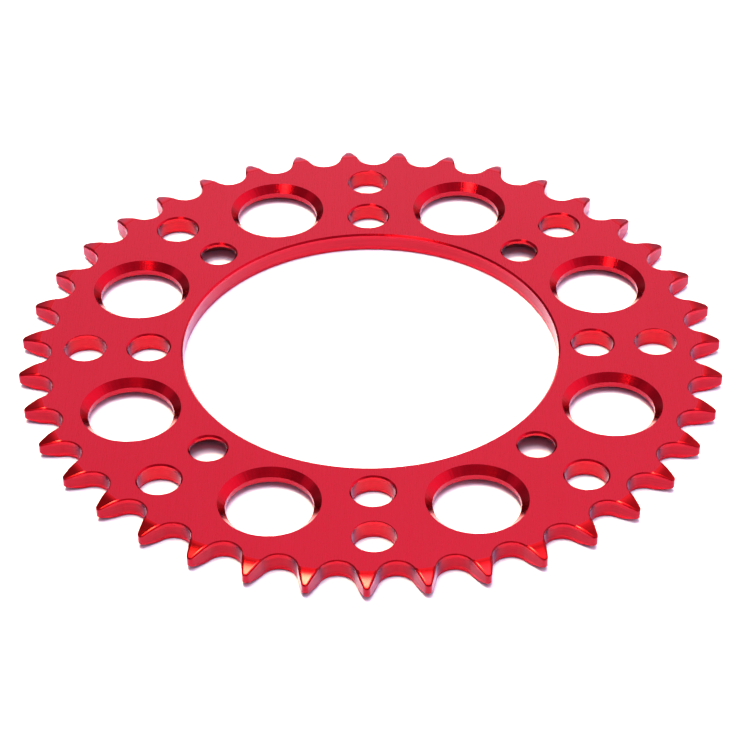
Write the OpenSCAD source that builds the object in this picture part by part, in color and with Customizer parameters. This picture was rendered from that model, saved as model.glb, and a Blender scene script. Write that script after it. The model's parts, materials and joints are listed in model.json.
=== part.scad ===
// Rear chain sprocket: one plate, machined all over, with a hub bore, three bolt circles and lightening holes.
// Millimetres. The origin is on the bore's axis, halfway through the plate, in the plane that the chain runs in.
// +Z points out of the face with the small chamfers. The countersinks open on the -Z face.

/* [Chain and teeth] */
// Number of teeth
teeth = 39; // [36:1:50]
// Pitch of the chain
chain_pitch = 15.875; // [15.8:0.005:15.95]
// Diameter of the chain's rollers
roller_d = 10.16; // [9.8:0.01:10.3]
// How much larger than a roller's radius the seat's radius is
seat_clearance = 0.12; // [0.05:0.01:0.2]
// Radius of a tooth's flank, which bulges a little
flank_r = 60; // [30:1:80]
// Height of the tooth tips above the pitch circle
tip_height = 4.1; // [3.6:0.05:4.3]
// Radius of the rounded tooth tip, seen along the bore
tip_round = 1.1; // [1:0.05:1.4]
// Angle from +X to the first tooth
first_tooth_angle = 1.1; // [0:0.1:9.2]

/* [Tooth bevels] */
// Length of the bevel on each side of a tooth, inwards from the tip
bevel_length = 5.6; // [3:0.1:6]
// How much thinner the bevel makes a tooth tip, on each side
bevel_depth = 1.5; // [0.8:0.05:1.8]
// Slope of the bevel where it leaves the plate's face, in degrees
bevel_start_slope = 8; // [4:1:12]

/* [Plate] */
// Thickness of the plate
thickness = 5.8; // [5.4:0.1:6.2]

/* [Hub bore] */
// Diameter of the bore that fits over the hub
bore_d = 110; // [100:0.5:118]
// Chamfer of the bore on the +Z face
bore_chamfer = 0.5; // [0.3:0.1:0.8]
// Broken edge of the bore on the -Z face, where the countersinks come close to it
bore_edge_break = 0.2; // [0.1:0.05:0.2]

/* [Inner bolt circle] */
// Diameter of the inner bolt circle
inner_circle_d = 130; // [129:0.5:131]
// Diameter of the four plain holes on the X and Y axes
stud_hole_d = 12.2; // [12:0.1:12.5]
// Chamfer of the chamfered stud holes
stud_chamfer = 0.45; // [0.3:0.05:0.6]
// Diameter of the four screw holes between them
screw_hole_d = 10.5; // [10.2:0.1:10.8]
// Chamfer of the screw holes on the +Z face
screw_chamfer = 0.5; // [0.3:0.1:0.6]
// Diameter of the 90 degree countersinks on the -Z face
countersink_d = 19.5; // [19:0.1:19.8]

/* [Outer bolt circle] */
// Diameter of the outer bolt circle
outer_circle_d = 167; // [165:0.5:168]
// Broken edge of the outer holes on the X and Y axes
edge_break = 0.15; // [0.1:0.05:0.2]

/* [Lightening holes] */
// Diameter of the circle that the lightening holes lie on
light_circle_d = 148.5; // [147:0.5:150]
// Diameter of the lightening holes between their chamfers
light_hole_d = 24.5; // [23:0.5:25]
// Wide chamfer at both ends of the lightening holes
light_chamfer = 2.1; // [1.6:0.1:2.2]

/* [Hidden] */
$fn = 96;

holes_per_pattern = 4;
eighth = 45;
light_count = 8;
light_step = 360 / light_count;
face_z = thickness / 2;
past = 1;                    // how far a cutting tool reaches past a face
anodised_red = [0.8, 0.06, 0.13];

// The tooth form. A tooth is drawn on +X, between the middles of the gaps beside it.
tooth_step = 360 / teeth;
pitch_r = chain_pitch / 2 / sin(tooth_step / 2);
outer_r = pitch_r + tip_height;
seat_r = roller_d / 2 + seat_clearance;
seat_steps = 11;
flank_steps = 4;
tip_steps = 4;

seat_centre = pitch_r * [cos(tooth_step / 2), sin(tooth_step / 2)];
tip_centre = [outer_r - tip_round, 0];

// The flank's arc touches the seat's circle from outside and the tip's circle from inside.
flank_to_seat = flank_r + seat_r;
flank_to_tip = flank_r - tip_round;
seat_to_tip = tip_centre - seat_centre;
seat_tip_gap = norm(seat_to_tip);
along = (flank_to_seat ^ 2 - flank_to_tip ^ 2 + seat_tip_gap ^ 2) / (2 * seat_tip_gap);
aside = sqrt(flank_to_seat ^ 2 - along ^ 2);
tip_direction = seat_to_tip / seat_tip_gap;
flank_centre = seat_centre + along * tip_direction
             + aside * [tip_direction[1], -tip_direction[0]];

function angle_of(v) = atan2(v[1], v[0]);
function turned(p, a) = [p[0] * cos(a) - p[1] * sin(a), p[0] * sin(a) + p[1] * cos(a)];
function mirrored(p) = [p[0], -p[1]];

// Points on an arc from angle a to angle b, without the point at a.
function arc(centre, r, a, b, steps) =
    [for (i = [1:steps]) centre + r * turned([1, 0], a + (b - a) * i / steps)];

seat_start = tooth_step / 2 - 180;
seat_end = angle_of(flank_centre - seat_centre);
flank_start = angle_of(seat_centre - flank_centre);
flank_end = angle_of(tip_centre - flank_centre);

// Half a tooth, from the bottom of the gap, which it leaves out, to the middle of the tip.
half_tooth = concat(
    arc(seat_centre, seat_r, seat_start, seat_end, seat_steps),
    arc(flank_centre, flank_r, flank_start, flank_end, flank_steps),
    arc(tip_centre, tip_round, flank_end, 0, tip_steps)
);
half_points = len(half_tooth);
gap_bottom = (pitch_r - seat_r) * [cos(tooth_step / 2), -sin(tooth_step / 2)];

// A whole tooth, anticlockwise, from the bottom of the gap before it.
one_tooth = concat(
    [gap_bottom],
    [for (i = [0:half_points - 1]) mirrored(half_tooth[i])],
    [for (i = [half_points - 2:-1:0]) half_tooth[i]]
);
tooth_outline = [
    for (k = [0:teeth - 1])
        for (p = one_tooth) turned(p, first_tooth_angle + k * tooth_step)
];

// The bevel's profile: it leaves the face at a slope, and curves steadily down to the tip.
bevel_steps = 3;
bevel_slope = tan(bevel_start_slope);
bevel_curve = (bevel_depth - bevel_slope * bevel_length) / bevel_length ^ 2;
function bevel_drop(x) = bevel_slope * x + bevel_curve * x ^ 2;
bevel_profile = [
    for (i = [0:bevel_steps])
        let (x = bevel_length * i / bevel_steps)
        [outer_r - bevel_length + x, face_z - bevel_drop(x)]
];
bevel_edge = [outer_r + past, face_z - bevel_drop(bevel_length + past)];

// The disc that the teeth are cut in, with a bevelled rim on both sides.
module bevelled_blank() {
    upper = concat([[0, face_z]], bevel_profile, [bevel_edge]);
    count = len(upper);
    rotate_extrude($fn = 360)
        polygon(concat(
            [for (i = [0:count - 1]) upper[i]],
            [for (i = [count - 1:-1:0]) mirrored(upper[i])]
        ));
}

// The toothed outline through the whole thickness.
module toothed_prism() {
    translate([0, 0, -face_z - past])
        linear_extrude(height = thickness + 2 * past)
            polygon(tooth_outline);
}

// A cutting tool for a hole of diameter d, with a 45 degree chamfer at its top and at its bottom.
module hole_tool(d, top_chamfer, bottom_chamfer) {
    r = d / 2;
    rotate_extrude()
        polygon([
            [0, -face_z - past],
            [r + bottom_chamfer + past, -face_z - past],
            [r, -face_z + bottom_chamfer],
            [r, face_z - top_chamfer],
            [r + top_chamfer + past, face_z + past],
            [0, face_z + past]
        ]);
}

// Puts its child at each of count places on a circle, the first at first_angle from +X.
module around(circle_d, count, first_angle) {
    for (k = [0:count - 1])
        rotate([0, 0, first_angle + k * 360 / count])
            translate([circle_d / 2, 0, 0])
                children();
}

module sprocket() {
    color(anodised_red)
        difference() {
            intersection() {
                bevelled_blank();
                toothed_prism();
            }
            hole_tool(bore_d, bore_chamfer, bore_edge_break, $fn = 360);
            around(inner_circle_d, holes_per_pattern, 0)
                hole_tool(stud_hole_d, stud_chamfer, stud_chamfer);
            around(inner_circle_d, holes_per_pattern, eighth)
                hole_tool(screw_hole_d, screw_chamfer, (countersink_d - screw_hole_d) / 2);
            around(outer_circle_d, holes_per_pattern, 0)
                hole_tool(stud_hole_d, edge_break, edge_break);
            around(outer_circle_d, holes_per_pattern, eighth)
                hole_tool(stud_hole_d, stud_chamfer, stud_chamfer);
            around(light_circle_d, light_count, light_step / 2)
                hole_tool(light_hole_d, light_chamfer, light_chamfer);
        }
}

sprocket();
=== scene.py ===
"""Looks of the rear sprocket: one red anodised aluminium plate, lying countersinks down on a pale floor.

The frame gives the plate's faces, the bore and the bolt circles. The tooth form and the chamfers repeat the
part's own sizes. The finely meshed double built here adds what a machinist and a finisher leave behind: a
broken edge round the teeth, bevels that blend into the face, straight brushing and turned marks.
"""
import json
import math

import bpy
from mathutils import Matrix, Vector
from mathutils.geometry import delaunay_2d_cdt


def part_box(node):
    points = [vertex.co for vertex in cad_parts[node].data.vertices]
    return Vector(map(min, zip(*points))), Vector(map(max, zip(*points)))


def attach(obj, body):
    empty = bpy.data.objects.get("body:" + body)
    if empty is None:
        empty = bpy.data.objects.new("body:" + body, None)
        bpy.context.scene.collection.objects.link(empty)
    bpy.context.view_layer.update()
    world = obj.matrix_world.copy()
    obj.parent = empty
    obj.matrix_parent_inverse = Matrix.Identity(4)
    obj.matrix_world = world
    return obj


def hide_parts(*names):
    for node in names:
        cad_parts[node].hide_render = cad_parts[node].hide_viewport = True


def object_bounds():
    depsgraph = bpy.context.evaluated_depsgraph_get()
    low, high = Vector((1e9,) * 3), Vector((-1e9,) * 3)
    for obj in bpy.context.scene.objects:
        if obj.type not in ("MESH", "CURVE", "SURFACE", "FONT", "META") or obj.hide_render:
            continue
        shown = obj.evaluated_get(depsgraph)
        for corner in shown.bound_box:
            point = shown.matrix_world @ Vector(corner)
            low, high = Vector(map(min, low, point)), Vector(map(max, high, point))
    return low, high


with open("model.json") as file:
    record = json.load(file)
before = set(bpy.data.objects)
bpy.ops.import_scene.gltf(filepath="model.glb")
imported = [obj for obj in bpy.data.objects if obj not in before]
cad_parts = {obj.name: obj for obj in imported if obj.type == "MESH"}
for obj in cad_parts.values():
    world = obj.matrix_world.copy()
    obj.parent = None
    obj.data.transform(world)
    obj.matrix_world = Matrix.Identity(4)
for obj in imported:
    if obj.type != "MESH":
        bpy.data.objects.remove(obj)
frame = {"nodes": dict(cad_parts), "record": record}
cad_low, cad_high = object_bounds()

MM = 0.001
TAU = 2 * math.pi

# ---------------------------------------------------------------- sizes, in metres
mounts = {m["name"]: m for m in frame["record"]["mounts"]}


def mount_radius(name):
    """The wall radius of a bore or of a bolt pattern's holes."""
    dims = mounts[name]["dims"]
    return dims.get("r_mm", dims.get("hole_r_mm")) * MM


def circle_radius(name):
    """The radius of a bolt pattern's circle."""
    return mounts[name]["dims"]["pcd_mm"] / 2 * MM


NODE = "sprocket"
_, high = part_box(NODE)
FACE_Z = high.z                      # the brushed faces are at +FACE_Z and -FACE_Z

TEETH = 39
CHAIN_PITCH = 15.875 * MM
SEAT_R = 5.2 * MM                    # the curve that a chain roller sits in
FLANK_R = 60 * MM
TIP_HEIGHT = 4.1 * MM                # from the pitch circle to the tooth tip
TIP_ROUND = 1.1 * MM
FIRST_TOOTH = math.radians(1.1)
BEVEL_LENGTH = 5.6 * MM
BEVEL_DEPTH = 1.5 * MM
BEVEL_SLOPE = math.tan(math.radians(8))
BEVEL_BLEND = 1.6 * MM               # the bevel's slope starts from nothing and grows over this length
EDGE_BREAK = 0.3 * MM                # the broken edge along the tooth outline

LIGHT_CIRCLE_R = 74.25 * MM
LIGHT_HOLE_R = 12.25 * MM
LIGHT_CHAMFER = 2.1 * MM
LIGHT_COUNT = 8
BOLT_COUNT = 4                       # bolt holes of one kind on a circle
BORE_CHAMFER = 0.5 * MM
BORE_BREAK = 0.2 * MM                # the bore's lower edge, which the countersinks come close to
STUD_CHAMFER = 0.45 * MM
SCREW_CHAMFER = 0.5 * MM
SCREW_SINK = 4.5 * MM                # depth of the 90 degree countersinks
PLAIN_BREAK = 0.15 * MM              # the outer holes on the X and Y axes have only a broken edge

# Straight edges round each kind of hole.
BORE_STEPS = 360
BOLT_STEPS = 96
LIGHT_STEPS = 160

# Finishes, in the order of the mesh's material slots.
BRUSHED, TURNED, BORED, DRILLED, HOBBED, BEVELLED, DEBURRED = range(7)


# ---------------------------------------------------------------- mesh
FILL_ALL = 0                         # the triangulation keeps every triangle, and plane() drops some
SAME_POINT = 1e-9                    # the triangulation's tolerance, in metres


class Shell:
    """Collects points and faces. A zone is a run of faces that shade smoothly into each other."""

    def __init__(self):
        self.points = []
        self.faces = []
        self.finishes = []
        self.zones = []
        self.uvs = []
        self.zone_count = 0

    def zone(self):
        self.zone_count += 1
        return self.zone_count

    def ring(self, flat_points, heights):
        """Adds one point per flat point, and returns their numbers."""
        start = len(self.points)
        for (x, y), z in zip(flat_points, heights):
            self.points.append((x, y, z))
        return list(range(start, len(self.points)))

    def face(self, corners, uvs, finish, zone):
        self.faces.append(corners)
        self.uvs.append(uvs)
        self.finishes.append(finish)
        self.zones.append(zone)

    def strip(self, first, second, finish, zone=None):
        """A closed band of quads from ring first to ring second. U runs across the band and V along it.

        The band is a zone of its own unless it is given one to share."""
        zone = zone or self.zone()
        count = len(first)
        width = (Vector(self.points[first[0]]) - Vector(self.points[second[0]])).length
        along = 0.0
        for i in range(count):
            j = (i + 1) % count
            step = (Vector(self.points[first[i]]) - Vector(self.points[first[j]])).length
            uvs = [(0, along), (0, along + step), (width, along + step), (width, along)]
            self.face([first[i], first[j], second[j], second[i]], uvs, finish, zone)
            along += step

    def lathe(self, centre, profile, steps, finishes):
        """Bands along a round hole's wall. profile is (radius, z) from the top.

        Returns the first and the last ring."""
        turns = [TAU * i / steps for i in range(steps)]
        rings = []
        for radius, z in profile:
            flat = [(centre[0] + radius * math.cos(t), centre[1] + radius * math.sin(t)) for t in turns]
            rings.append(self.ring(flat, [z] * steps))
        for upper, lower, finish in zip(rings, rings[1:], finishes):
            self.strip(upper, lower, finish)
        return rings[0], rings[-1]

    def plane(self, outline, holes, normal_up):
        """Fills between an outline and the rims of round holes with triangles."""
        loops = [outline] + [rim for rim, _, _ in holes]
        numbers = [n for loop in loops for n in loop]
        flat = [Vector(self.points[n][:2]) for n in numbers]
        edges = []
        start = 0
        for loop in loops:
            edges += [(start + i, start + (i + 1) % len(loop)) for i in range(len(loop))]
            start += len(loop)
        region = list(range(len(outline)))
        fill = delaunay_2d_cdt(flat, edges, [region], FILL_ALL, SAME_POINT, True)
        _, _, triangles, origins, _, inside = fill
        zone = self.zone()
        for corners, owner in zip(triangles, inside):
            triangle = [origins[i][0] for i in corners]
            middle = sum((flat[i] for i in triangle), Vector((0, 0))) / 3
            if not owner or any((middle - Vector(centre)).length < radius for _, centre, radius in holes):
                continue
            order = triangle if normal_up else triangle[::-1]
            uvs = [tuple(flat[i]) for i in order]
            self.face([numbers[i] for i in order], uvs, BRUSHED, zone)

    def build(self, name, materials):
        mesh = bpy.data.meshes.new(name)
        mesh.from_pydata(self.points, [], self.faces)
        uv_layer = mesh.uv_layers.new(name="finish")
        flat_uvs = [value for uvs in self.uvs for uv in uvs for value in uv]
        uv_layer.uv.foreach_set("vector", flat_uvs)
        mesh.polygons.foreach_set("material_index", self.finishes)
        mesh.polygons.foreach_set("use_smooth", [True] * len(self.faces))
        edge_zones = {}
        for polygon, zone in zip(mesh.polygons, self.zones):
            for key in polygon.edge_keys:
                edge_zones.setdefault(key, set()).add(zone)
        for edge in mesh.edges:
            edge.use_edge_sharp = len(edge_zones[edge.key]) > 1
        for material in materials:
            mesh.materials.append(material)
        mesh.validate()
        piece = bpy.data.objects.new(name, mesh)
        bpy.context.scene.collection.objects.link(piece)
        return piece


# ---------------------------------------------------------------- tooth form
TOOTH_STEP = TAU / TEETH
PITCH_R = CHAIN_PITCH / 2 / math.sin(TOOTH_STEP / 2)
OUTER_R = PITCH_R + TIP_HEIGHT
BEVEL_START_R = OUTER_R - BEVEL_LENGTH
SEAT_STEPS = 32
FLANK_STEPS = 8
TIP_STEPS = 8
BEVEL_COLUMNS = 8


def polar(radius, angle):
    return Vector((radius * math.cos(angle), radius * math.sin(angle)))


def bevel_drop(radius):
    """How far the bevelled rim lies below the face at a radius."""
    x = max(0.0, radius - BEVEL_START_R)
    curve = (BEVEL_DEPTH - BEVEL_SLOPE * BEVEL_LENGTH) / BEVEL_LENGTH ** 2
    blended = min(x, BEVEL_BLEND)
    saved = BEVEL_SLOPE * (blended - blended ** 2 / BEVEL_BLEND / 2)
    return BEVEL_SLOPE * x - saved + curve * x * x


def arc(centre, radius, start, end, steps):
    """Points on an arc, without its first one."""
    return [centre + polar(radius, start + (end - start) * i / steps) for i in range(1, steps + 1)]


def half_tooth(inset):
    """Half of a tooth on +X, from the bottom of the gap to the tip, moved into the metal by inset."""
    seat_centre = polar(PITCH_R, TOOTH_STEP / 2)
    tip_centre = Vector((OUTER_R - TIP_ROUND, 0))
    to_seat = FLANK_R + SEAT_R
    to_tip = FLANK_R - TIP_ROUND
    across = tip_centre - seat_centre
    gap = across.length
    along = (to_seat ** 2 - to_tip ** 2 + gap ** 2) / (2 * gap)
    aside = math.sqrt(to_seat ** 2 - along ** 2)
    across.normalize()
    flank_centre = seat_centre + along * across + aside * Vector((across.y, -across.x))
    seat_end = math.atan2(*(flank_centre - seat_centre).yx)
    flank_start = math.atan2(*(seat_centre - flank_centre).yx)
    flank_end = math.atan2(*(tip_centre - flank_centre).yx)
    seat_start = TOOTH_STEP / 2 - math.pi
    seat_r = SEAT_R + inset
    return (
        [seat_centre + polar(seat_r, seat_start)]
        + arc(seat_centre, seat_r, seat_start, seat_end, SEAT_STEPS)
        + arc(flank_centre, FLANK_R - inset, flank_start, flank_end, FLANK_STEPS)
        + arc(tip_centre, TIP_ROUND - inset, flank_end, 0, TIP_STEPS)
    )


def tooth_loop(inset):
    """The whole outline, anticlockwise, moved into the metal by inset, and each tooth's number of points."""
    half = half_tooth(inset)
    lower = [Vector((p.x, -p.y)) for p in half]
    one = lower + half[-2:0:-1]
    points = []
    for k in range(TEETH):
        turn = Matrix.Rotation(FIRST_TOOTH + k * TOOTH_STEP, 2)
        points += [turn @ p for p in one]
    return points, len(one)


def add_rim(shell, side):
    """One side's bevelled teeth and broken edge. side is 1 for the upper face, -1 for the lower one.

    Returns the flat face's outline and the upper or lower ring of the outer wall."""
    inner, per_tooth = tooth_loop(EDGE_BREAK)
    outer, _ = tooth_loop(0)
    inner_z = [side * (FACE_Z - bevel_drop(p.length)) for p in inner]
    outer_z = [side * (FACE_Z - bevel_drop(p.length) - EDGE_BREAK) for p in outer]
    inner_ring = shell.ring(inner, inner_z)
    outer_ring = shell.ring(outer, outer_z)
    zone = shell.zone()
    if side > 0:
        shell.strip(outer_ring, inner_ring, DEBURRED, zone)
    else:
        shell.strip(inner_ring, outer_ring, DEBURRED, zone)

    outline = []
    for k in range(TEETH):
        numbers = inner_ring[k * per_tooth:(k + 1) * per_tooth]
        middle = per_tooth // 2
        radii = [inner[n - inner_ring[0]].length for n in numbers]
        first = next(i for i, radius in enumerate(radii) if radius > BEVEL_START_R)
        base = bevel_row(shell, k, numbers, inner, inner_ring[0], first - 1, side, at_face=True)
        outline += numbers[:first] + base[1:-1] + numbers[per_tooth - first + 1:]
        previous = base
        for i in range(first, middle + 1):
            row = bevel_row(shell, k, numbers, inner, inner_ring[0], i, side, at_face=False)
            join_rows(shell, previous, row, side, zone)
            previous = row
    return outline, outer_ring


def bevel_row(shell, k, numbers, inner, start, i, side, at_face):
    """A row of points across tooth k between its outline's i-th points, on the bevel or along its foot."""
    middle = len(numbers) // 2
    if i == middle:
        return [numbers[middle]]
    left, right = numbers[i], numbers[len(numbers) - i]
    axis = FIRST_TOOTH + k * TOOTH_STEP
    point = inner[left - start]
    radius = point.length
    spread = math.atan2(point.y, point.x) - axis
    spread = (spread + math.pi) % TAU - math.pi
    row = [left]
    for c in range(1, BEVEL_COLUMNS):
        angle = axis + spread * (1 - 2 * c / BEVEL_COLUMNS)
        flat = polar(BEVEL_START_R if at_face else radius, angle)
        z = side * (FACE_Z - bevel_drop(flat.length))
        row += shell.ring([flat], [z])
    return row + [right]


def join_rows(shell, near, far, side, zone):
    """Quads, or triangles at the tip, between two rows. U runs outwards and V around the rim."""
    def uv(n):
        x, y, _ = shell.points[n]
        return (math.hypot(x, y), math.atan2(y, x) * OUTER_R)

    for c in range(BEVEL_COLUMNS):
        if len(far) == 1:
            corners = [near[c], far[0], near[c + 1]]
        else:
            corners = [near[c], far[c], far[c + 1], near[c + 1]]
        if side < 0:
            corners.reverse()
        shell.face(corners, [uv(n) for n in corners], BEVELLED, zone)


def hole_list():
    """Every round hole: centre, profile from the upper face down as (radius, z), wall finish and steps."""
    holes = []

    def add(circle_r, count, first_angle, radius, upper, lower, wall, steps):
        profile = [
            (radius + upper, FACE_Z),
            (radius, FACE_Z - upper),
            (radius, -FACE_Z + lower),
            (radius + lower, -FACE_Z),
        ]
        for k in range(count):
            centre = polar(circle_r, first_angle + TAU * k / count)
            holes.append((centre, profile, wall, steps))

    eighth = TAU / 8
    inner_r, outer_r = circle_radius("inner_studs"), circle_radius("outer_bolts")
    stud_r, screw_r = mount_radius("inner_studs"), mount_radius("inner_screws")
    bolts = (DRILLED, BOLT_STEPS)
    add(0, 1, 0, mount_radius("hub_bore"), BORE_CHAMFER, BORE_BREAK, BORED, BORE_STEPS)
    add(inner_r, BOLT_COUNT, 0, stud_r, STUD_CHAMFER, STUD_CHAMFER, *bolts)
    add(inner_r, BOLT_COUNT, eighth, screw_r, SCREW_CHAMFER, SCREW_SINK, *bolts)
    add(outer_r, BOLT_COUNT, 0, stud_r, PLAIN_BREAK, PLAIN_BREAK, *bolts)
    add(outer_r, BOLT_COUNT, eighth, stud_r, STUD_CHAMFER, STUD_CHAMFER, *bolts)
    chamfers = (LIGHT_CHAMFER, LIGHT_CHAMFER)
    add(LIGHT_CIRCLE_R, LIGHT_COUNT, eighth / 2, LIGHT_HOLE_R, *chamfers, BORED, LIGHT_STEPS)
    return holes


def build_sprocket(materials):
    shell = Shell()
    upper_outline, upper_ring = add_rim(shell, 1)
    lower_outline, lower_ring = add_rim(shell, -1)
    shell.strip(lower_ring, upper_ring, HOBBED)
    upper_holes, lower_holes = [], []
    for centre, profile, wall, steps in hole_list():
        finishes = [TURNED, wall, TURNED]
        top, bottom = shell.lathe(centre, profile, steps, finishes)
        upper_holes.append((top, centre, profile[0][0]))
        lower_holes.append((bottom, centre, profile[-1][0]))
    shell.plane(upper_outline, upper_holes, normal_up=True)
    shell.plane(lower_outline, lower_holes, normal_up=False)
    return shell.build("sprocket_machined", materials)


# ---------------------------------------------------------------- materials
# Each finish's streaks run from its dark colour to its light one. A wall's rims take its rim colour, which
# is painted light: a painted highlight along the top and a painted reflection of the lit floor along the
# bottom.
FACE_LIGHT = (0.53, 0.013, 0.049, 1)
FACE_DARK = (0.48, 0.009, 0.038, 1)
CONE_LIGHT = (0.53, 0.006, 0.034, 1)
CONE_DARK = (0.46, 0.004, 0.026, 1)
BEVEL_LIGHT = (0.53, 0.006, 0.018, 1)
BEVEL_DARK = (0.47, 0.004, 0.014, 1)
# Darker than the other finishes: painted shade for the dark line along the tooth outline.
DEBUR_SHADED_LIGHT = (0.30, 0.005, 0.022, 1)
DEBUR_SHADED_DARK = (0.26, 0.004, 0.018, 1)
# The bored, drilled and tooth walls are one metal. Compared with the bored walls' colours, the drilled
# walls' are lighter, painted light, and the tooth walls' darker, painted shade.
BORE_LIGHT = (0.34, 0.011, 0.040, 1)
BORE_DARK = (0.29, 0.009, 0.034, 1)
# Lighter than the streaks: painted light along the rims of the bore and the lightening holes.
BORE_PAINTED_RIM = (0.50, 0.010, 0.038, 1)
DRILL_LIGHT = (0.40, 0.009, 0.034, 1)
DRILL_DARK = (0.36, 0.007, 0.029, 1)
# Lighter than the streaks: painted light along the rims of the small holes.
DRILL_PAINTED_RIM = (0.55, 0.009, 0.034, 1)
TOOTH_LIGHT = (0.31, 0.011, 0.038, 1)
TOOTH_DARK = (0.27, 0.009, 0.033, 1)
# Lighter than the streaks: painted light along the rims of the tooth walls.
TOOTH_PAINTED_RIM = (0.60, 0.011, 0.038, 1)

# Tints of the metal where it is seen at a low angle.
BEVEL_TINT = (0.5, 0.8, 1.0, 1)
WALL_TINT = (0.65, 0.75, 1.0, 1)
WALL_SHEEN = (0.9, 0.72, 1.0, 1)

# Heights on a wall between which its colour turns to its painted rim colour, and its gloss to that of its
# rims.
UPPER_RIM = (1.2 * MM, 2.3 * MM)
LOWER_RIM = (-1.0 * MM, -2.4 * MM)
GLOSS_RIM = (1.4 * MM, 2.4 * MM)     # from the middle of the plate, both ways
UPPER_RIM_SHARE = 0.4                # the painted highlight on the upper rim is fainter than the painted floor reflection on the lower one


def node(tree, kind, inputs=None, **settings):
    made = tree.nodes.new(kind)
    for key, value in settings.items():
        setattr(made, key, value)
    for key, value in (inputs or {}).items():
        if isinstance(value, bpy.types.NodeSocket):
            tree.links.new(value, made.inputs[key])
        else:
            made.inputs[key].default_value = value
    return made


def math_node(tree, operation, *values):
    return node(tree, "ShaderNodeMath", dict(enumerate(values)), operation=operation).outputs[0]


def streaks(tree, across, along, detail):
    """Noise on the surface. across is its size along U, and along its size along V, in metres."""
    surface = node(tree, "ShaderNodeUVMap", uv_map="finish").outputs["UV"]
    stretched = node(tree, "ShaderNodeVectorMath", {0: surface, 1: (1 / across, 1 / along, 1)},
                     operation="MULTIPLY").outputs[0]
    return node(tree, "ShaderNodeTexNoise", {
        "Vector": stretched,
        "Scale": 1.0,
        "Detail": detail,
        "Roughness": 0.6,
    }, noise_dimensions="2D").outputs["Fac"]


def ranged(tree, value, from_low, from_high, to_low, to_high):
    return node(tree, "ShaderNodeMapRange", {
        "Value": value,
        "From Min": from_low,
        "From Max": from_high,
        "To Min": to_low,
        "To Max": to_high,
    }, clamp=True).outputs[0]


def mix_colour(tree, factor, first, second):
    """A Mix node takes its factor at socket 0 and its colours at 6 and 7. Output 2 is the mixed colour."""
    return node(tree, "ShaderNodeMix", {0: factor, 6: first, 7: second}, data_type="RGBA").outputs[2]


def metal(name, anisotropy, coat):
    """Dyed anodised aluminium: a coloured metal under a thin clear oxide layer. The marks run along V."""
    material = bpy.data.materials.new(name)
    material.use_nodes = True
    tree = material.node_tree
    shader = tree.nodes["Principled BSDF"]
    shader.inputs["Metallic"].default_value = 1.0
    shader.inputs["Anisotropic"].default_value = anisotropy
    shader.inputs["Coat Weight"].default_value = coat
    shader.inputs["Coat Roughness"].default_value = 0.15
    shader.inputs["Coat IOR"].default_value = 1.5
    tangent = node(tree, "ShaderNodeTangent", direction_type="UV_MAP", uv_map="finish")
    tree.links.new(tangent.outputs["Tangent"], shader.inputs["Tangent"])
    return material, tree, shader


def shade(tree, shader, colour, roughness, height, depth):
    """Links a finish to its shader. depth is how high the bump stands where height is 1, in metres."""
    tree.links.new(colour, shader.inputs["Base Color"])
    tree.links.new(roughness, shader.inputs["Roughness"])
    bump = node(tree, "ShaderNodeBump", {"Height": height, "Distance": depth, "Strength": 1.0})
    tree.links.new(bump.outputs[0], shader.inputs["Normal"])


def brushed_face():
    """Straight brushing along Y: fine lines of uneven length over broad, faint ones."""
    material, tree, shader = metal("brushed_face", anisotropy=0.85, coat=0.40)
    fine = streaks(tree, 0.22 * MM, 6 * MM, 2.0)
    broad = streaks(tree, 1.3 * MM, 45 * MM, 2.0)
    cloud = streaks(tree, 30 * MM, 45 * MM, 1.0)
    lines = math_node(tree, "MULTIPLY_ADD", broad, 0.5, fine)
    tone = math_node(tree, "MULTIPLY_ADD", cloud, 0.25, lines)
    colour = mix_colour(tree, ranged(tree, tone, 0.6, 1.15, 0, 1), FACE_DARK, FACE_LIGHT)
    roughness = ranged(tree, lines, 0.5, 1.0, 0.26, 0.34)
    shade(tree, shader, colour, roughness, fine, 0.002 * MM)
    return material


def turned_chamfer():
    """A chamfer cut by a turning tool: fine rings, and faint chatter across them."""
    material, tree, shader = metal("turned_chamfer", anisotropy=0.6, coat=0.2)
    rings = streaks(tree, 0.12 * MM, 20 * MM, 2.0)
    chatter = streaks(tree, 8 * MM, 0.9 * MM, 3.0)
    chatter_in_colour = 1.8
    chatter_in_height = 12.0
    tone = math_node(tree, "MULTIPLY_ADD", chatter, chatter_in_colour, rings)
    height = math_node(tree, "MULTIPLY_ADD", chatter, chatter_in_height, rings)
    colour = mix_colour(tree, ranged(tree, tone, 0.95, 1.85, 0, 1), CONE_DARK, CONE_LIGHT)
    roughness = ranged(tree, rings, 0.3, 0.7, 0.13, 0.20)
    shade(tree, shader, colour, roughness, height, 0.004 * MM)
    return material


def turned_bevel():
    """A tooth bevel, turned all round the rim before the teeth were cut. It is the smoothest surface."""
    material, tree, shader = metal("turned_bevel", anisotropy=0.4, coat=0.3)
    shader.inputs["Specular Tint"].default_value = BEVEL_TINT
    rings = streaks(tree, 0.15 * MM, 20 * MM, 2.0)
    colour = mix_colour(tree, ranged(tree, rings, 0.3, 0.7, 0, 1), BEVEL_DARK, BEVEL_LIGHT)
    shade(tree, shader, colour, ranged(tree, rings, 0.3, 0.7, 0.11, 0.16), rings, 0.002 * MM)
    return material


def deburred_edge_painted_shade():
    """The narrow broken edge round the teeth, rubbed dull and even. Its colour is darker than the other
    finishes': painted shade for the dark line along the tooth outline.
    """
    material, tree, shader = metal("deburred_edge_painted_shade", anisotropy=0.2, coat=0.3)
    marks = streaks(tree, 0.2 * MM, 0.8 * MM, 2.0)
    colour = mix_colour(tree, ranged(tree, marks, 0.3, 0.7, 0, 1), DEBUR_SHADED_DARK, DEBUR_SHADED_LIGHT)
    shade(tree, shader, colour, ranged(tree, marks, 0.3, 0.7, 0.38, 0.48), marks, 0.003 * MM)
    return material


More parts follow.
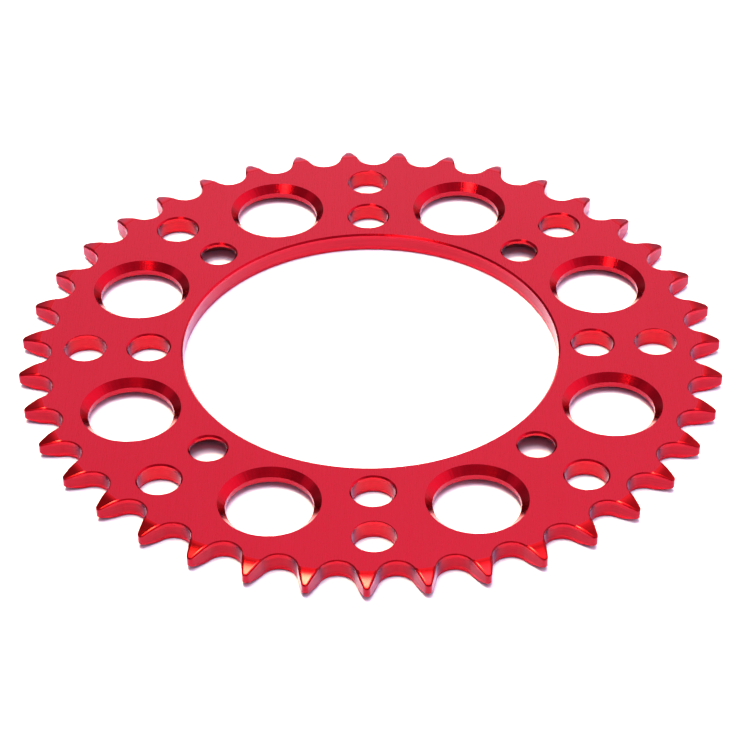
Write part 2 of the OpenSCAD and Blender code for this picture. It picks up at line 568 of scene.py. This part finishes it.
def cut_wall(name, dark, light, edge, coat):
    """A wall: tool lines along it, a duller middle, painted lighter rims (a painted highlight along the top
    and a painted reflection of the lit floor along the bottom) and a pale sheen at low angles.
    """
    material, tree, shader = metal(name, anisotropy=0.3, coat=coat)
    shader.inputs["Specular Tint"].default_value = WALL_TINT
    shader.inputs["Sheen Weight"].default_value = 0.5
    shader.inputs["Sheen Roughness"].default_value = 0.35
    shader.inputs["Sheen Tint"].default_value = WALL_SHEEN
    lines = streaks(tree, 0.35 * MM, 25 * MM, 2.0)
    place = node(tree, "ShaderNodeTexCoord").outputs["Object"]
    height = node(tree, "ShaderNodeSeparateXYZ", {0: place}).outputs["Z"]
    # Painted light: lighter towards the wall's top for a painted highlight, and towards its bottom for a
    # painted reflection of the lit floor.
    upper_highlight_band = ranged(tree, height, *UPPER_RIM, 0, UPPER_RIM_SHARE)
    lower_floor_reflection_band = ranged(tree, height, *LOWER_RIM, 0, 1)
    painted_rim_light = math_node(tree, "ADD", upper_highlight_band, lower_floor_reflection_band)
    dull = mix_colour(tree, ranged(tree, lines, 0.35, 0.65, 0, 1), dark, light)
    colour = mix_colour(tree, painted_rim_light, dull, edge)
    roughness = ranged(tree, math_node(tree, "ABSOLUTE", height), *GLOSS_RIM, 0.30, 0.18)
    shade(tree, shader, colour, roughness, lines, 0.004 * MM)
    return material


# ---------------------------------------------------------------- stage
FLOOR_HALF = 4.0                     # metres from the floor's middle to its edges
FLOOR_COLOUR = (0.78, 0.74, 1.0, 1)  # a pale lavender, which the shadows show


def add_floor():
    half = FLOOR_HALF
    mesh = bpy.data.meshes.new("floor")
    corners = [(-half, -half, 0), (half, -half, 0), (half, half, 0), (-half, half, 0)]
    mesh.from_pydata(corners, [], [(0, 1, 2, 3)])
    floor = bpy.data.objects.new("floor", mesh)
    floor.location.z = cad_low.z
    bpy.context.scene.collection.objects.link(floor)
    paper = bpy.data.materials.new("pale_floor")
    paper.use_nodes = True
    shader = paper.node_tree.nodes["Principled BSDF"]
    shader.inputs["Base Color"].default_value = FLOOR_COLOUR
    shader.inputs["Roughness"].default_value = 0.9
    shader.inputs["Specular IOR Level"].default_value = 0.0
    mesh.materials.append(paper)


def direction(azimuth, elevation):
    """A unit vector. Azimuth 0 is away from the camera, along +Y, and 90 is to the right, along +X."""
    a, e = math.radians(azimuth), math.radians(elevation)
    return (math.sin(a) * math.cos(e), math.cos(a) * math.cos(e), math.sin(e))


# Soft panels around the object: azimuth, elevation, radius and softness in degrees, brightness and colour.
WHITE = (1, 1, 1)
WARM = (1, 0.96, 0.80)
AMBER = (1, 0.70, 0.22)
PANELS = {
    "right softbox": (80, 17, 35, 6, 0.24, WHITE),
    "right glow": (90, 19, 5, 60, 0.58, WHITE),
    "backdrop": (0, 3, 15, 12, 0.40, WHITE),
    "far wall": (-2, 31, 9, 22, 0.68, WHITE),
    "far right": (46, 26, 10, 28, 0.20, WHITE),
    "far window": (12, 46, 5, 14, 0.10, WHITE),
    "upper far wall": (12, 57, 8, 12, 0.48, WHITE),
    "ceiling": (0, 90, 12, 19, 5.0, WARM),
    "rear wall": (165, 50, 22, 14, 0.09, WHITE),
    "low rear wall": (180, 20, 8, 13, 0.32, WHITE),
    "left wall": (-90, 20, 8, 13, 0.32, WHITE),
    "key": (-32, 77, 4, 9, 42.0, AMBER),
}
AMBIENT = 0.34

# In reflections the ceiling has only this share of its strength where the direction's Y is under the first
# number of CEILING_FORWARD. It grows to the whole at the second.
CEILING_SHARE = 0.12
CEILING_FORWARD = (0.08, 0.16)

# The near softbox, in metres, watts and degrees.
SOFTBOX_WIDTH = 0.30
SOFTBOX_DISTANCE = 0.8
SOFTBOX_ENERGY = 1.4
SOFTBOX_AZIMUTH = -139
SOFTBOX_ELEVATION = 66
SOFTBOX_COLOUR = (1.0, 1.0, 0.38)


def scaled(tree, colour, factor):
    return node(tree, "ShaderNodeVectorMath", {0: colour, "Scale": factor}, operation="SCALE").outputs[0]


def panel_light(tree, look, azimuth, elevation, radius, softness, brightness, colour):
    """A round panel that fades out over softness degrees, as a colour."""
    towards = node(tree, "ShaderNodeVectorMath", {0: look, 1: direction(azimuth, elevation)},
                   operation="DOT_PRODUCT").outputs["Value"]
    angle = math_node(tree, "ARCCOSINE", towards)
    strength = node(tree, "ShaderNodeMapRange", {
        "Value": angle,
        "From Min": math.radians(radius),
        "From Max": math.radians(radius + softness),
        "To Min": brightness,
        "To Max": 0.0,
    }, interpolation_type="SMOOTHSTEP").outputs[0]
    return scaled(tree, colour, strength)


def ceiling_strength(tree, look):
    """The ceiling is whole for all light but reflections. They see little of the part that is straight above
    or to the rear, so that the faces aren't washed out when they are seen from the top."""
    forward = node(tree, "ShaderNodeSeparateXYZ", {0: look}).outputs["Y"]
    strength = ranged(tree, forward, *CEILING_FORWARD, CEILING_SHARE, 1.0)
    is_gloss = node(tree, "ShaderNodeLightPath").outputs["Is Glossy Ray"]
    missing = math_node(tree, "MULTIPLY", is_gloss, math_node(tree, "SUBTRACT", 1.0, strength))
    return math_node(tree, "SUBTRACT", 1.0, missing)


def add_light():
    """A studio of soft panels on a dim surround, which lights the object. The camera sees a plain white."""
    world = bpy.data.worlds.new("studio")
    world.use_nodes = True
    tree = world.node_tree
    tree.nodes.clear()
    look = node(tree, "ShaderNodeTexCoord").outputs["Generated"]
    total = (AMBIENT, AMBIENT, AMBIENT)
    for name, panel in PANELS.items():
        light = panel_light(tree, look, *panel)
        if name == "ceiling":
            light = scaled(tree, light, ceiling_strength(tree, look))
        total = node(tree, "ShaderNodeVectorMath", {0: light, 1: total}, operation="ADD").outputs[0]
    studio = node(tree, "ShaderNodeBackground", {"Color": total, "Strength": 1.0})
    plain = node(tree, "ShaderNodeBackground", {"Color": (1, 1, 1, 1), "Strength": 1.0})
    seen = node(tree, "ShaderNodeLightPath").outputs["Is Camera Ray"]
    mix = node(tree, "ShaderNodeMixShader", {0: seen, 1: studio.outputs[0], 2: plain.outputs[0]})
    node(tree, "ShaderNodeOutputWorld", {"Surface": mix.outputs[0]})
    bpy.context.scene.world = world


def add_softbox():
    """A round softbox behind the camera, which shows in reflections only. It is so near that each hole's
    chamfer shows it at another angle."""
    data = bpy.data.lights.new("rear_softbox", "AREA")
    data.shape = "DISK"
    data.size = SOFTBOX_WIDTH
    data.energy = SOFTBOX_ENERGY
    data.color = SOFTBOX_COLOUR
    softbox = bpy.data.objects.new("rear_softbox", data)
    softbox.visible_diffuse = False
    softbox.location = SOFTBOX_DISTANCE * Vector(direction(SOFTBOX_AZIMUTH, SOFTBOX_ELEVATION))
    softbox.rotation_euler = softbox.location.to_track_quat("Z", "Y").to_euler()
    bpy.context.scene.collection.objects.link(softbox)


def add_camera():
    elevation = math.radians(38.77)
    azimuth = math.radians(-0.47)
    roll = math.radians(-0.36)
    distance = 0.7841
    target = Vector((0.00123, -0.01423, FACE_Z))
    data = bpy.data.cameras.new("camera")
    data.lens = 130.3
    data.sensor_width = 36
    camera = bpy.data.objects.new("camera", data)
    back = Vector((0, -math.cos(elevation), math.sin(elevation)))
    side = Vector((1, 0, 0))
    up = back.cross(side)
    turned_side = side * math.cos(roll) + up * math.sin(roll)
    turned_up = up * math.cos(roll) - side * math.sin(roll)
    basis = Matrix((turned_side, turned_up, back)).transposed().to_4x4()
    place = Matrix.Translation(target + back * distance)
    camera.matrix_world = Matrix.Rotation(azimuth, 4, "Z") @ place @ basis
    bpy.context.scene.collection.objects.link(camera)
    bpy.context.scene.camera = camera


# ---------------------------------------------------------------- the object and its scene
metals = [
    brushed_face(),
    turned_chamfer(),
    # The drilled wall is a lighter copy of the bored wall, painted light, and the tooth wall a darker copy,
    # painted shade.
    cut_wall("bored_wall", BORE_DARK, BORE_LIGHT, BORE_PAINTED_RIM, coat=0.5),
    cut_wall("drilled_wall_painted_light", DRILL_DARK, DRILL_LIGHT, DRILL_PAINTED_RIM, coat=0.6),
    cut_wall("tooth_wall_painted_shade", TOOTH_DARK, TOOTH_LIGHT, TOOTH_PAINTED_RIM, coat=0.4),
    turned_bevel(),
    deburred_edge_painted_shade(),
]
sprocket = build_sprocket(metals)
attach(sprocket, "root")
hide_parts(NODE)
frame["nodes"][NODE].data.materials.clear()
frame["nodes"][NODE].data.materials.append(metals[BRUSHED])

add_floor()
add_light()
add_softbox()
add_camera()
bpy.context.scene.view_settings.view_transform = "Standard"
bpy.context.scene.view_settings.look = "High Contrast"
